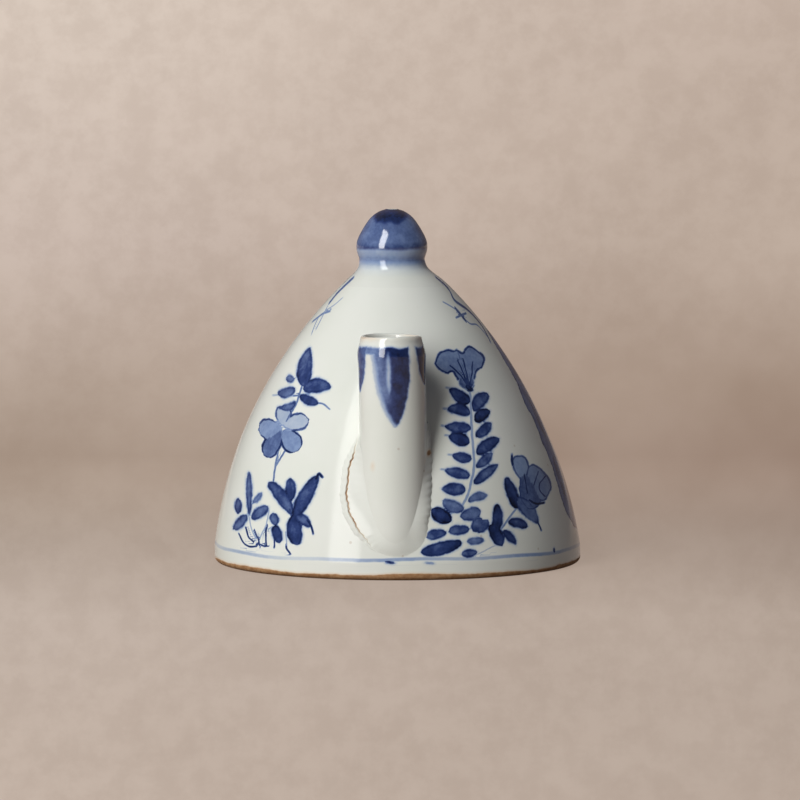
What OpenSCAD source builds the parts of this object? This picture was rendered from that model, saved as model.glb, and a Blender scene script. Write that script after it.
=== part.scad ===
// Calligraphy water dropper: a thrown bell closed by a base disc, with a spout and a knob luted on.
// Millimetres, Z up. The origin is the centre of the foot on the table, the spout stands towards -Y.

/* [Bell] */
// Radius of the upright foot band
foot_r = 35.1; // [34:0.1:37]
// Height of the foot band, where the flank starts
band_h = 3.3; // [2.5:0.1:4]
// Height of the bell's flat top, under the knob
bell_h = 53; // [51:0.5:55]
// Radius of the bell's flat top
shoulder_r = 10.2; // [9.4:0.1:10.6]
// Radius of the flank's arc
flank_arc_r = 88; // [80:1:98]
// Thickness of the thrown wall
wall_t = 2.6; // [2.4:0.1:3]
// Thickness of the bell's closed top
top_t = 3; // [2.6:0.1:3.4]
// Worn rounding of the foot's outer edge
foot_round = 0.8; // [0.4:0.1:1.2]

/* [Base] */
// Thickness of the base disc
base_t = 3; // [2.6:0.1:3.4]
// Height of the foot ring that lifts the disc off the table
base_recess = 0.5; // [0.3:0.1:0.8]
// Width of the shoulder that the disc is pressed against
ledge_w = 0.9; // [0.6:0.1:1.1]
// Width and height of the slip coil in the inner corner
coil_w = 4; // [3:0.5:5]

/* [Spout] */
// How far the mouth lies below the bell's top, which sets how full the bell gets
mouth_drop = 7.7; // [6:0.1:9]
// How far the spout's axis lies inside the foot's edge, at the table
spout_inset = 6.8; // [6.3:0.1:7.1]
// Outward lean of the spout, in degrees
spout_lean = 2; // [1:0.5:3]
// Outer radius of the spout at its mouth
mouth_r = 6.15; // [6:0.05:6.4]
// Outer radius of the spout at its lower end
root_r = 6.5; // [6.5:0.05:6.8]
// Radius of the spout's bore at the mouth
bore_r = 4.9; // [4.6:0.1:5]
// Length of the straight bore at the mouth
mouth_bore_l = 10; // [8:0.5:10]
// Radius of the bore at the root, which narrows a little
root_bore_r = 4.7; // [4.4:0.1:4.8]
// Height of the port that joins the spout to the reservoir
port_z = 22; // [21:0.5:24]
// Radius of the port
port_r = 3.5; // [3:0.1:3.6]

/* [Luting at the spout] */
// Thickness of the slip pad on the wall
pad_t = 0.9; // [0.6:0.1:1.2]
// Half width of the pad
pad_w = 8.2; // [8:0.1:9]
// Shift of the pad to the left of the spout
pad_shift = 0.8; // [0.4:0.1:1]
// Lower tip of the pad
pad_low_z = 3.6; // [3.4:0.1:4]
// How far the pad's lower tip reaches below the spout's lower end
pad_tail = 4.4; // [4:0.1:5]
// Upper tip of the pad
pad_high_z = 33; // [31:0.5:34]

/* [Knob] */
// Height of the waist over the narrowest place of the wiped hollow
waist_h = 0.3; // [0.2:0.1:0.8]
// Height of the bud's widest level above the waist
bud_h = 1.4; // [1.2:0.1:2]
// Radius of the bud's arc
bud_arc_r = 8; // [7.8:0.1:8.4]
// Shift of the arc's centre past the axis, which points the bud
bud_point = 1.2; // [1:0.1:1.4]
// Radius of the knob's neck, inside the slip ring
neck_r = 5.4; // [5:0.1:5.6]
// Radius of the spigot in the bell's top
spigot_r = 3.9; // [3.5:0.1:4.2]
// Radius of the air hole
air_r = 1; // [0.8:0.1:1.4]
// Radius of the slip ring at the waist
waist_r = 6.3; // [6.2:0.05:6.4]
// Radius of the hollow that the slip ring is wiped to
wipe_r = 2.8; // [2.4:0.1:3.2]

/* [Fit] */
// Clearance round pieces that are slipped into one another
fit_gap = 0.1; // [0.05:0.05:0.2]

/* [Hidden] */
$fn = 240;
cut = 0.5;
far = 200;
// Centre of the flank's arc, in radius and height, from the chord between its two ends
chord = [shoulder_r - foot_r, bell_h - band_h];
chord_l = norm(chord);
chord_mid = [shoulder_r + foot_r, bell_h + band_h] / 2;
flank_c = chord_mid + [-chord[1], chord[0]] / chord_l * sqrt(pow(flank_arc_r, 2) - pow(chord_l / 2, 2));
// The seat of the base disc
ledge_z = base_recess + base_t;
inner_foot_r = flank_c[0] + sqrt(pow(flank_arc_r - wall_t, 2) - pow(ledge_z - flank_c[1], 2));
rebate_r = inner_foot_r + ledge_w;
ceiling_z = bell_h - top_t;
// The coil's hollow face meets both walls at a slant, so that it has no feather edge
coil_hollow_r = coil_w * 1.5;
coil_off = sqrt(pow(coil_hollow_r, 2) - pow(coil_w, 2) / 2) / sqrt(2);
// Heights along the spout's own axis: its lip, its lower end and the end of its bore
spout_y = foot_r - spout_inset;
spout_len = (bell_h - mouth_drop) / cos(spout_lean);
lip_r = (mouth_r - bore_r) / 2;
lip_low = spout_len - lip_r;
root_low = pad_low_z + pad_tail;
bore_low = root_low + 1;
// The pad's outline is the overlap of two circles
pad_half_h = (pad_high_z - pad_low_z) / 2;
pad_mid_z = (pad_high_z + pad_low_z) / 2;
pad_arc_r = (pad_half_h * pad_half_h + pad_w * pad_w) / (2 * pad_w);
// The slip ring runs up from the bell's edge at about 45 degrees, a little into the circle of the hollow
wipe_z = shoulder_r + bell_h - waist_r - wipe_r + wipe_r * sqrt(2);
wipe_lap = 0.05;
wipe_foot = (wipe_r - wipe_lap) * sin(45);
waist_z = wipe_z + waist_h;
bud_z = waist_z + bud_h;

// The bell's outline set in by t, as an area from the axis outward
module dome_area(t) {
  intersection() {
    translate(flank_c) circle(r = flank_arc_r - t);
    square([foot_r - t, bell_h]);
  }
}

module foot_corner() {
  difference() {
    translate([foot_r - foot_round, -cut]) square([foot_round + cut, foot_round + cut]);
    translate([foot_r - foot_round, foot_round]) circle(r = foot_round);
  }
}

module spout_frame() {
  translate([0, -spout_y, 0]) rotate([spout_lean, 0, 0]) children();
}

// The spout's outer shape, solid
module spout_blank() {
  spout_frame() translate([0, 0, root_low])
    cylinder(h = lip_low - root_low, r1 = root_r, r2 = mouth_r);
}

module bell_wall() {
  color("gainsboro") difference() {
    rotate_extrude() difference() {
      dome_area(0);
      foot_corner();
      intersection() {
        dome_area(wall_t);
        square([far, ceiling_z]);
      }
      translate([0, -cut]) square([rebate_r, ledge_z + cut]);
      translate([0, ceiling_z - cut]) square([spigot_r + fit_gap, top_t + 2 * cut]);
    }
    translate([0, 0, port_z]) rotate([90, 0, 0]) cylinder(h = foot_r, r = port_r);
  }
}

module base_disc() {
  color("tan") translate([0, 0, base_recess]) cylinder(h = base_t, r = rebate_r - fit_gap);
}

module base_lute() {
  color("burlywood") rotate_extrude() difference() {
    intersection() {
      translate([inner_foot_r - coil_w, ledge_z]) square([2 * coil_w, coil_w]);
      dome_area(wall_t);
    }
    translate([inner_foot_r - coil_w / 2 - coil_off, ledge_z + coil_w / 2 + coil_off])
      circle(r = coil_hollow_r);
  }
}

module spout_tube() {
  color("lightsteelblue") difference() {
    union() {
      spout_blank();
      spout_frame() translate([0, 0, lip_low]) rotate_extrude()
        translate([mouth_r - lip_r, 0]) circle(r = lip_r);
    }
    spout_frame() rotate_extrude() polygon([[0, bore_low], [root_bore_r, bore_low],
      [bore_r, lip_low - mouth_bore_l], [bore_r, far], [0, far]]);
    rotate_extrude() dome_area(0);
  }
}

module spout_lute() {
  color("silver") difference() {
    intersection() {
      rotate_extrude() difference() {
        dome_area(-pad_t);
        dome_area(0);
      }
      translate([-pad_shift, 0, pad_mid_z]) rotate([90, 0, 0]) linear_extrude(height = far)
        intersection() {
          translate([pad_arc_r - pad_w, 0]) circle(r = pad_arc_r);
          translate([pad_w - pad_arc_r, 0]) circle(r = pad_arc_r);
        }
    }
    spout_blank();
  }
}

module knob() {
  color("cornflowerblue") rotate_extrude() difference() {
    union() {
      translate([0, ceiling_z]) square([spigot_r, top_t + cut]);
      translate([0, bell_h]) square([neck_r, waist_z - bell_h + cut]);
      intersection() {
        translate([-bud_point, bud_z]) circle(r = bud_arc_r);
        translate([0, waist_z]) square([far, far]);
      }
    }
    square([air_r, far]);
  }
}

module knob_lute() {
  color("lavender") rotate_extrude() difference() {
    polygon([[neck_r, bell_h], [shoulder_r, bell_h], [waist_r + wipe_r - wipe_foot, wipe_z - wipe_foot],
      [waist_r + wipe_r, wipe_z], [waist_r + wipe_r, waist_z], [neck_r, waist_z]]);
    translate([waist_r + wipe_r, wipe_z]) circle(r = wipe_r);
  }
}

bell_wall();
base_disc();
base_lute();
spout_tube();
spout_lute();
knob();
knob_lute();
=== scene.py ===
import math
import bpy
import numpy as np
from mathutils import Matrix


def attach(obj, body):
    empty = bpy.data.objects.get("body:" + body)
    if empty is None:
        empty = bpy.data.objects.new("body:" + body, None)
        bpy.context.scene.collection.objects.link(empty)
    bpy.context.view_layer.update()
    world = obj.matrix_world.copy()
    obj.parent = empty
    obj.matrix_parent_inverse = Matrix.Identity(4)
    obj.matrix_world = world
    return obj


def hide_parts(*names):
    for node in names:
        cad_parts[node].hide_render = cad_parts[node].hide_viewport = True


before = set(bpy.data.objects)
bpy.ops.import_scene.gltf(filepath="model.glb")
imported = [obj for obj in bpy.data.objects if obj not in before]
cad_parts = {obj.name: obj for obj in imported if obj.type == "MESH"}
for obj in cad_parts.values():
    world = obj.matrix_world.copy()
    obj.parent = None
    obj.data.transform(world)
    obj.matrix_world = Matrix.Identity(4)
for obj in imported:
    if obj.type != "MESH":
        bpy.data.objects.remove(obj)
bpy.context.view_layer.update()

# The camera stands a metre in front of the dropper and a little above its knob, with a long lens,
# and looks slightly down. Lengths are in metres here, as everywhere outside the shape formulas.
def new_object(name, data):
    """A new object that shows the data, put into the scene."""
    made = bpy.data.objects.new(name, data)
    bpy.context.scene.collection.objects.link(made)
    return made


camera = new_object("camera", bpy.data.cameras.new("camera"))
camera.data.sensor_width = 36
camera.data.lens = 234
camera.data.clip_end = 100
camera.location = (0.00096, -0.9938, 0.1115)
camera.rotation_euler = (math.radians(85.36), 0, 0)
bpy.context.scene.camera = camera
bpy.context.scene.view_settings.view_transform = "Standard"


# The dropper stands on a wide sheet of warm pale card, which is also the backdrop; the camera sees it mostly
# as a glow of painted light. A tall soft window light stands to the left of the camera, and a faint even
# light fills the shade.
def linear(red, green, blue):
    """The linear colour of a display colour given as 0 to 255: the standard display curve undone."""
    shown = np.array([red, green, blue]) / 255
    low, high = shown / 12.92, ((shown + 0.055) / 1.055) ** 2.4
    return (*np.where(shown <= 0.04045, low, high).tolist(), 1.0)


def wire(tree, kind, inputs=None, **settings):
    """Adds a shader node to a tree, with its settings, and links or fills the inputs that are named."""
    node = tree.nodes.new("ShaderNode" + kind)
    for name, value in settings.items():
        setattr(node, name, value)
    for name, value in (inputs or {}).items():
        socket = node.inputs[name]
        if isinstance(value, bpy.types.NodeSocket):
            tree.links.new(value, socket)
        else:
            socket.default_value = value
    return node


def new_material(name):
    """A material with an empty node tree and its output node."""
    material = bpy.data.materials.new(name)
    material.use_nodes = True
    material.node_tree.nodes.clear()
    return material, material.node_tree, material.node_tree.nodes.new("ShaderNodeOutputMaterial")


def axes_of(tree, vector):
    """The three parts of a vector, as sockets."""
    return wire(tree, "SeparateXYZ", {0: vector}).outputs


def noise(tree, place, scale, detail, roughness=0.5):
    """A cloudy value from 0 to 1, the finer the greater its scale."""
    return wire(tree, "TexNoise", {"Vector": place, "Scale": scale, "Detail": detail,
                "Roughness": roughness}).outputs["Fac"]


def maths(tree, operation, first, second=0.0, third=0.0):
    """One step of arithmetic between sockets or numbers, as a socket."""
    return wire(tree, "Math", {0: first, 1: second, 2: third}, operation=operation).outputs[0]


def ramp(tree, value, low, high, to_low=0.0, to_high=1.0):
    """A smooth step from to_low to to_high while the value runs from low to high."""
    return wire(tree, "MapRange", {"Value": value, "From Min": low, "From Max": high,
                "To Min": to_low, "To Max": to_high}, interpolation_type="SMOOTHSTEP").outputs["Result"]


def mixed(tree, factor, first, second, blend_type="MIX"):
    """Two colours mixed by a factor, as a socket."""
    node = wire(tree, "Mix", data_type="RGBA", blend_type=blend_type)
    for socket, value in ((node.inputs[0], factor), (node.inputs[6], first), (node.inputs[7], second)):
        if isinstance(value, bpy.types.NodeSocket):
            tree.links.new(value, socket)
        else:
            socket.default_value = value
    return node.outputs[2]


def colour_steps(tree, value, steps):
    """A colour that runs through steps as the value grows: each step is a value and a display colour."""
    node = wire(tree, "ValToRGB", {"Fac": value})
    band = node.color_ramp
    while len(band.elements) < len(steps):
        band.elements.new(0.5)
    for element, (step, tone) in zip(band.elements, steps):
        element.position, element.color = step, linear(*tone)
    return node.outputs["Color"]


CARD_HALF = 60.0
card_mesh = bpy.data.meshes.new("card")
card_mesh.from_pydata([(-CARD_HALF, -CARD_HALF, 0), (CARD_HALF, -CARD_HALF, 0), (CARD_HALF, CARD_HALF, 0),
                       (-CARD_HALF, CARD_HALF, 0)], [], [(0, 1, 2, 3)])
card = new_object("card", card_mesh)
card_paper, tree, output = new_material("warm_card_painted_light")
place = wire(tree, "TexCoord").outputs["Object"]
axes = axes_of(tree, place)
fleck = noise(tree, place, 26.0, 5.0)
# Seen from the front, a place on the card stands as high in the view as the reciprocal of its distance.
distance = maths(tree, "ADD", maths(tree, "MAXIMUM", axes[1], -0.45), 1.0)
nearness = maths(tree, "DIVIDE", 1.0, distance)
sideways = maths(tree, "DIVIDE", axes[0], distance)
rightness = ramp(tree, sideways, -0.09, 0.09)
# The card's painted light is given as tones at these steps of nearness. A ramp ends at 1, so nearness is
# shrunk to fit.
NEAR_STEPS = (0.0, 0.45, 0.70, 0.82, 0.92, 1.10, 1.32)
RAMP_PART = 0.6


def card_painted_light(*tones):
    """The card's painted light and shade from far to near, given as a display colour for each step of
    nearness.
    """
    steps = [(step * RAMP_PART, tone) for step, tone in zip(NEAR_STEPS, tones)]
    return colour_steps(tree, maths(tree, "MULTIPLY", nearness, RAMP_PART), steps)


painted_light_left = card_painted_light((220, 205, 192), (203, 186, 175), (180, 162, 148), (164, 145, 130), (184, 166, 151),
                        (211, 194, 181), (209, 191, 177))
painted_shade_right = card_painted_light((196, 178, 165), (186, 168, 154), (159, 138, 123), (153, 131, 117),
                         (163, 142, 128), (198, 180, 166), (196, 178, 164))
flat_place = wire(tree, "CombineXYZ", {0: sideways, 1: maths(tree, "MULTIPLY", nearness, 0.112)})
mottle = noise(tree, flat_place.outputs[0], 170.0, 6.0, 0.65)
blotch = noise(tree, flat_place.outputs[0], 28.0, 3.0)
near_tone = mixed(tree, ramp(tree, fleck, 0.35, 0.65), linear(152, 141, 133), linear(147, 135, 127))
paper = wire(tree, "BsdfDiffuse", {"Color": near_tone})
# Painted light and shade: the glow is lighter on the left, towards the window, and darker on the right and in
# a band behind the dropper.
painted_light_tone = mixed(tree, rightness, painted_light_left, painted_shade_right)
painted_light_tone = mixed(tree, ramp(tree, mottle, 0.35, 0.65, 0.0, 0.16), painted_light_tone, linear(150, 128, 112))
painted_light_tone = mixed(tree, ramp(tree, blotch, 0.35, 0.65, 0.0, 0.10), painted_light_tone, linear(232, 214, 200))
glow = wire(tree, "Emission", {"Color": painted_light_tone})
light_path = wire(tree, "LightPath").outputs
# Camera and glossy rays see mostly this painted glow, so the glaze reflects it too. Near the dropper it
# covers three quarters of the lit paper, which pales the real shadow.
seen = maths(tree, "MAXIMUM", light_path["Is Camera Ray"],
             maths(tree, "MAXIMUM", light_path["Is Glossy Ray"], light_path["Is Transmission Ray"]))
share = maths(tree, "MULTIPLY", seen, ramp(tree, axes[1], 0.0, 0.20, 0.74, 1.0))
card_look = wire(tree, "MixShader", {0: share, 1: paper.outputs[0], 2: glow.outputs[0]})
tree.links.new(card_look.outputs[0], output.inputs["Surface"])
card_mesh.materials.append(card_paper)

world = bpy.data.worlds.new("even_light")
world.use_nodes = True
tree = world.node_tree
tree.nodes.clear()
# The room is dark, a little lighter overhead and at the sides, and warm behind the card.
way = axes_of(tree, wire(tree, "TexCoord").outputs["Generated"])
sides = maths(tree, "ADD", ramp(tree, way[0], -0.2, -1.0, 0.0, 0.10), ramp(tree, way[0], 0.5, 1.0, 0.0, 0.16))
room = maths(tree, "ADD", ramp(tree, way[2], 0.1, 1.0, 0.012, 0.11), sides)
behind = ramp(tree, way[1], -0.05, 0.75, 0.0, 0.22)
room_tone = mixed(tree, maths(tree, "MULTIPLY", behind, 4.0), linear(222, 232, 255), linear(224, 196, 180))
fill = wire(tree, "Background", {"Color": room_tone, "Strength": maths(tree, "ADD", room, behind)})
backdrop = wire(tree, "Background", {"Color": linear(206, 189, 176), "Strength": 1.0})
light_path = wire(tree, "LightPath").outputs
sky = wire(tree, "MixShader", {0: light_path["Is Camera Ray"], 1: fill.outputs[0],
           2: backdrop.outputs[0]})
wire(tree, "OutputWorld", {"Surface": sky.outputs[0]})
bpy.context.scene.world = world


def area_light(name, size, energy, colour, place, turn):
    """A soft rectangular light: its width and height in metres, its power in watts, and where it stands."""
    light = new_object(name, bpy.data.lights.new(name, "AREA"))
    light.data.shape = "RECTANGLE"
    light.data.size, light.data.size_y = size
    light.data.energy, light.data.color = energy, colour
    light.location, light.rotation_euler = place, turn
    return light


WINDOW_DISTANCE, WINDOW_LEFT, WINDOW_UP = 0.9, math.radians(33), math.radians(27)
window_place = (-WINDOW_DISTANCE * math.sin(WINDOW_LEFT) * math.cos(WINDOW_UP),
                -WINDOW_DISTANCE * math.cos(WINDOW_LEFT) * math.cos(WINDOW_UP),
                WINDOW_DISTANCE * math.sin(WINDOW_UP) + 0.03)
area_light("window_light", (0.31, 1.04), 9.9, (1.0, 0.99, 0.968), window_place,
           (math.radians(90) - WINDOW_UP, 0, -WINDOW_LEFT))
# A pale wall far to the left sends back some of the light. It is too dull to shine in the glaze.
wall_light = area_light("wall_light", (1.0, 1.0), 2.3, (1.0, 0.975, 0.94), (-1.07, -0.17, 0.34),
                        (math.radians(73), 0, math.radians(-81)))
wall_light.visible_glossy = False


# The bell is thrown porcelain: a hollow body closed at the top by a thick lid of its own clay, with
# an upright band at the foot, a seat for the base disc and a port that was cut before luting.
FOOT_R, BAND_H, BELL_H, SHOULDER_R, FLANK_R = 35.1, 3.3, 53.0, 10.2, 88.0
WALL, TOP, FOOT_ROUND = 2.6, 3.0, 1.0
FLANK_MID_R, FLANK_MID_Z = -52.0, -9.25
SEAT_Z, REBATE_R, SPIGOT_HOLE_R = 3.5, 33.342, 4.0
PORT_Z, PORT_R, PORT_COLUMNS = 22.0, 3.5, 48
CREASE = 38


def flank(z, inset=0.0):
    """The bell's radius at a height, in mm: one arc set in by the inset, and the upright band below it."""
    height = np.clip(np.asarray(z, float), BAND_H, None) - FLANK_MID_Z
    arc = FLANK_MID_R + np.sqrt((FLANK_R - inset) ** 2 - height ** 2)
    return np.minimum(arc, FOOT_R - inset)


def line(start, end, count):
    """Points from start up to but not including end, evenly spaced."""
    return np.linspace(start, end, count, endpoint=False)


def pairs(across, up):
    """Points of a flat outline from their two coordinates, either of which may be one number for all."""
    return np.stack(np.broadcast_arrays(across, up), -1)


def quads(rows, columns, rows_close=True):
    """The four-cornered faces of a grid whose columns close on themselves; its rows may too."""
    row = np.arange(rows if rows_close else rows - 1)[:, None]
    column = np.arange(columns)[None, :]
    this, after = row * columns, (row + 1) % rows * columns
    beside = (column + 1) % columns
    return np.stack([this + column, this + beside, after + beside, after + column], -1).reshape(-1, 4)


def capped(rows, columns):
    """The faces of an open grid of that size, and a flat face to close it at each end."""
    last = (rows - 1) * columns
    ends = [list(range(columns - 1, -1, -1)), list(range(last, last + columns))]
    return quads(rows, columns, False).tolist() + ends


def make_piece(name, points, faces, crease=CREASE):
    """A mesh object from points in mm, smooth but for edges sharper than the crease, with its normals
    as the faces give them."""
    mesh = bpy.data.meshes.new(name)
    mesh.from_pydata((np.asarray(points) / 1000).tolist(), [], [list(face) for face in faces])
    mesh.shade_smooth()
    mesh.set_sharp_from_angle(angle=math.radians(crease))
    return new_object(name, mesh)


def turned(profile, angles, lean=None):
    """A profile of radius and height turned round the axis. The angle is measured from the front,
    towards the right, so a point is (r sin a, -r cos a, z); lean shifts each level sideways."""
    radius, height = profile[:, 0][:, None], profile[:, 1][:, None]
    x = radius * np.sin(angles) + (0 if lean is None else lean(height))
    return np.stack([x, -radius * np.cos(angles), height + 0 * angles], -1).reshape(-1, 3)


def cut_away(piece, cutter):
    """Takes the cutter's space out of the piece, applies it and deletes the cutter."""
    step = piece.modifiers.new("cut", "BOOLEAN")
    step.operation, step.solver, step.object = "DIFFERENCE", "MANIFOLD", cutter
    shaped = bpy.data.meshes.new_from_object(piece.evaluated_get(bpy.context.evaluated_depsgraph_get()))
    piece.modifiers.clear()
    piece.data = shaped
    bpy.data.objects.remove(cutter)
    shaped.shade_smooth()
    shaped.set_sharp_from_angle(angle=math.radians(CREASE))
    return piece


def places(piece):
    """The points of a piece's mesh, in mm."""
    flat = np.empty(len(piece.data.vertices) * 3)
    piece.data.vertices.foreach_get("co", flat)
    return flat.reshape(-1, 3) * 1000


rounding = np.radians(line(-90, 0, 7))
rise = line(FOOT_ROUND, BAND_H, 8)
slope = np.linspace(BAND_H, BELL_H, 150)
inner = np.linspace(BELL_H - TOP, SEAT_Z, 15)
bell_profile = np.concatenate([
    pairs(FOOT_R - FOOT_ROUND + FOOT_ROUND * np.cos(rounding), FOOT_ROUND + FOOT_ROUND * np.sin(rounding)),
    pairs(FOOT_R, rise),
    pairs(flank(slope), slope),
    [(6.5, BELL_H), (SPIGOT_HOLE_R, BELL_H), (SPIGOT_HOLE_R, BELL_H - TOP)],
    pairs(flank(inner, WALL), inner),
    [(REBATE_R, SEAT_Z), (REBATE_R, 1.7), (REBATE_R, 0.0)]])
# The columns stand closer at the front, where the painting is finest.
bell_angles = np.radians(np.concatenate([line(-84, 84, 336), line(84, 276, 156)]))
bell_points = turned(bell_profile, bell_angles)
# The foot spread a little to the right in the kiln, on the outside only.
spread = 0.5 * np.clip((24 - bell_points[:, 2]) / 24, 0, 1) ** 0.8
bell_r = np.hypot(bell_points[:, 0], bell_points[:, 1])
bell_points[:, 0] += spread * (bell_r > flank(bell_points[:, 2]) - WALL / 2)
bell = make_piece("bell", bell_points, quads(len(bell_profile), len(bell_angles)))
port_ring = np.radians(line(0, 360, PORT_COLUMNS))
port_points = [(PORT_R * math.cos(turn), y, PORT_Z + PORT_R * math.sin(turn))
               for y in (-10, -40) for turn in port_ring]
cut_away(bell, make_piece("port_cutter", port_points, capped(2, PORT_COLUMNS)))


# The painting is cobalt brushed on the raw body before glazing: pale washes, full strokes and thin
# lines. Each point of a mesh keeps how deep it lies in each of the three, and how strong the blue is.
WASH, STROKE, LINE = 0, 1, 2
DEEPEST = 0.6


def smooth_path(marks, count):
    """A curve through the marks: between two marks, the usual cubic whose slope at a mark is half the
    step from the mark before it to the mark after it."""
    marks = np.array(marks, float)
    marks = np.concatenate([[2 * marks[0] - marks[1]], marks, [2 * marks[-1] - marks[-2]]])
    span = np.linspace(0, len(marks) - 3 - 1e-9, count)
    index = span.astype(int)
    t = (span - index)[:, None]
    a, b, c, d = (marks[index + k] for k in range(4))
    bent, twisted = 2 * a - 5 * b + 4 * c - d, 3 * b - a - 3 * c + d
    return 0.5 * (2 * b + (c - a) * t + bent * t ** 2 + twisted * t ** 3)


class Painting:
    """Brushwork on the points of one piece. x and z are the sheet's own axes in mm, such as the
    front elevation or the unrolled wall. Washes and strokes keep their depth from the edge; lines keep
    how far to the side of the line a point lies, as a share of its width, with a sign."""

    def __init__(self, count):
        self.depth = np.full((count, 3), -DEEPEST)
        self.depth[:, LINE] = 3.0
        self.near = np.full((count, 3), -DEEPEST)
        self.near[:, LINE] = -2 * DEEPEST
        self.tone = np.zeros((count, 3))
        self.rim = np.zeros(count)

    def sheet(self, x, z, where):
        """Sets the axes that the next strokes are given in, and the points that they may touch."""
        self.where = np.flatnonzero(where)
        self.x, self.z = x[self.where], z[self.where]

    def lay(self, layer, depth, tone, kept=None, rim=0.0):
        """Keeps a stroke wherever it lies deeper than what is there."""
        reach = 2 * DEEPEST if layer == LINE else DEEPEST
        depth = np.clip(depth, -reach, reach)
        deeper = depth > self.near[self.where, layer]
        spots = self.where[deeper]
        self.near[spots, layer] = depth[deeper]
        self.depth[spots, layer] = (depth if kept is None else kept)[deeper]
        self.tone[spots, layer] = np.broadcast_to(tone, depth.shape)[deeper]
        if layer == WASH:
            self.rim[spots] = np.broadcast_to(rim, depth.shape)[deeper]

    def measure(self, x0, z0, x1, z1):
        """How the points lie to a straight stroke: as a part of its length, how far to its left, and how
        far past its nearer end."""
        length = max(math.hypot(x1 - x0, z1 - z0), 1e-6)
        ux, uz = (x1 - x0) / length, (z1 - z0) / length
        run = (self.x - x0) * ux + (self.z - z0) * uz
        part = np.clip(run / length, 0, 1)
        return part, (self.z - z0) * ux - (self.x - x0) * uz, run - part * length

    def leaf(self, x0, z0, x1, z1, width, bend, tone, round_tip=0.7, layer=STROKE):
        """A brush stroke with a middle line bent as a parabola. Its half width goes as the square root of
        the part from its start, times a power of the part left to its tip: a half makes an oval, and
        more makes a point. The blue thins towards the tip and is a little uneven."""
        part, across, past = self.measure(x0, z0, x1, z1)
        across = across - bend * 4 * part * (1 - part)
        widest = 0.5 / (0.5 + round_tip)
        body = (part / widest) ** 0.5 * ((1 - part) / (1 - widest)) ** round_tip
        depth = width / 2 * body - np.hypot(across, past)
        uneven = 0.05 * np.sin(9 * part + 3 * x0) + 0.04 * np.sin(4 * across + z0)
        self.lay(layer, depth, tone * (1.05 - 0.12 * part + uneven))

    def path(self, marks, width, tone):
        """A thin line of even width through a few marks, which fades out at its ends."""
        ends = smooth_path(marks, 6 * len(marks))
        for (x0, z0), (x1, z1) in zip(ends[:-1], ends[1:]):
            side, past = self.measure(x0, z0, x1, z1)[1:]
            away = np.hypot(side, past)
            fade = np.clip((0.62 - away) / 0.27, 0, 1)
            self.lay(LINE, -away, tone * fade, np.clip(side / width, -3, 3))

    def petal(self, x0, z0, x1, z1, width, wash, outline):
        """A petal from its foot to its round end: a wash whose half width swells as a power of the part
        along it, and an outline that fades in away from the foot."""
        part, across, past = self.measure(x0, z0, x1, z1)
        body = (part / 0.6) ** 0.66 * ((1 - part) / 0.4) ** 0.44
        depth = width / 2 * body - np.hypot(across, past)
        self.lay(WASH, depth, wash, rim=outline * np.clip(part / 0.3, 0.6, 1))

    def patch(self, marks, wash, outline):
        """A wash inside a closed soft outline through the marks, with a darker edge. The depth is the
        distance to the nearest side, taken as inside where an odd number of sides lies to the right."""
        ends = smooth_path(marks + marks[:1], 5 * len(marks) + 1)
        nearest, odd = np.full(len(self.x), 9.0), np.zeros(len(self.x), bool)
        for (x0, z0), (x1, z1) in zip(ends[:-1], ends[1:]):
            nearest = np.minimum(nearest, np.hypot(*self.measure(x0, z0, x1, z1)[1:]))
            crossed = (z0 > self.z) != (z1 > self.z)
            odd ^= crossed & (self.x < x0 + (self.z - z0) * (x1 - x0) / (z1 - z0 or 1.0))
        self.lay(WASH, np.where(odd, nearest, -nearest), wash, rim=outline)

    def keep(self, piece, bare):
        """Writes the painting and the depth of bare clay into the mesh."""
        for name, values, kind, field in (("ink_depth", self.depth, "FLOAT_VECTOR", "vector"),
                                          ("ink_tone", self.tone, "FLOAT_VECTOR", "vector"),
                                          ("ink_rim", self.rim, "FLOAT", "value"),
                                          ("bare_clay", bare, "FLOAT", "value")):
            layer = piece.data.attributes.new(name, kind, "POINT")
            layer.data.foreach_set(field, values.astype(np.float32).ravel())


def tremble(u, v, size):
    """A steady unevenness of hand work: a sum of three slow waves of both coordinates."""
    waves = np.sin(1.9 * u + 0.7 * v) + np.sin(3.1 * v - 1.3 * u + 1.7) + np.sin(5.3 * u + 4.1 * v + 0.6)
    return size * waves / 3


# Sprays of the painting, in mm from the bell's axis and from the table.
# Each leaf is start x, start z, tip x, tip z, width, bend to the left, strength of the blue and the power
# of its tip. Each petal is foot x, foot z, end x, end z, width, and the blue of its wash and outline.
LEFT_LEAVES = [
    (-17.2, 34.7, -16.1, 41.8, 3, .35, .8, .8), (-17.3, 34.3, -12, 35.1, 2.7, .45, .84, .55),
    (-17.9, 33.1, -14.3, 32, 1.9, -.2, .86, .6), (-18.8, 34.3, -22.2, 32.9, 1.9, .2, .72, .55),
    (-20.7, 35.7, -18.9, 35.9, 1.4, .1, .66, .5), (-18.6, 31.9, -22.3, 30.6, 1.4, .5, .7, .7),
    (-23.7, 17.1, -19.2, 11.7, 2.6, .35, .8, .55), (-19.4, 14.2, -19.6, 18.1, 2.1, 0, .84, .42),
    (-18.9, 11, -14.2, 19.1, 2.7, .15, .86, .62), (-18.8, 11.6, -18.3, 6, 3, -.25, .9, .42),
    (-18.6, 11.4, -15.6, 9.5, 2, .3, .78, .7), (-27.4, 10.6, -27.6, 18.4, 1.25, 0, .72, .45),
    (-26.7, 12.9, -25, 15, 1.15, 0, .6, .45), (-29.7, 10.5, -29.6, 13.3, 1.5, 0, .8, .5),
    (-27.9, 10.6, -30.6, 7.5, 1.7, .1, .74, .5), (-27, 10, -23.7, 12.6, 1.9, .1, .76, .42),
    (-22.8, 11.6, -22.4, 9.4, 1.8, 0, .72, .5), (-22.5, 9.4, -21.6, 6.2, 2.1, 0, .92, .45)]
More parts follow.
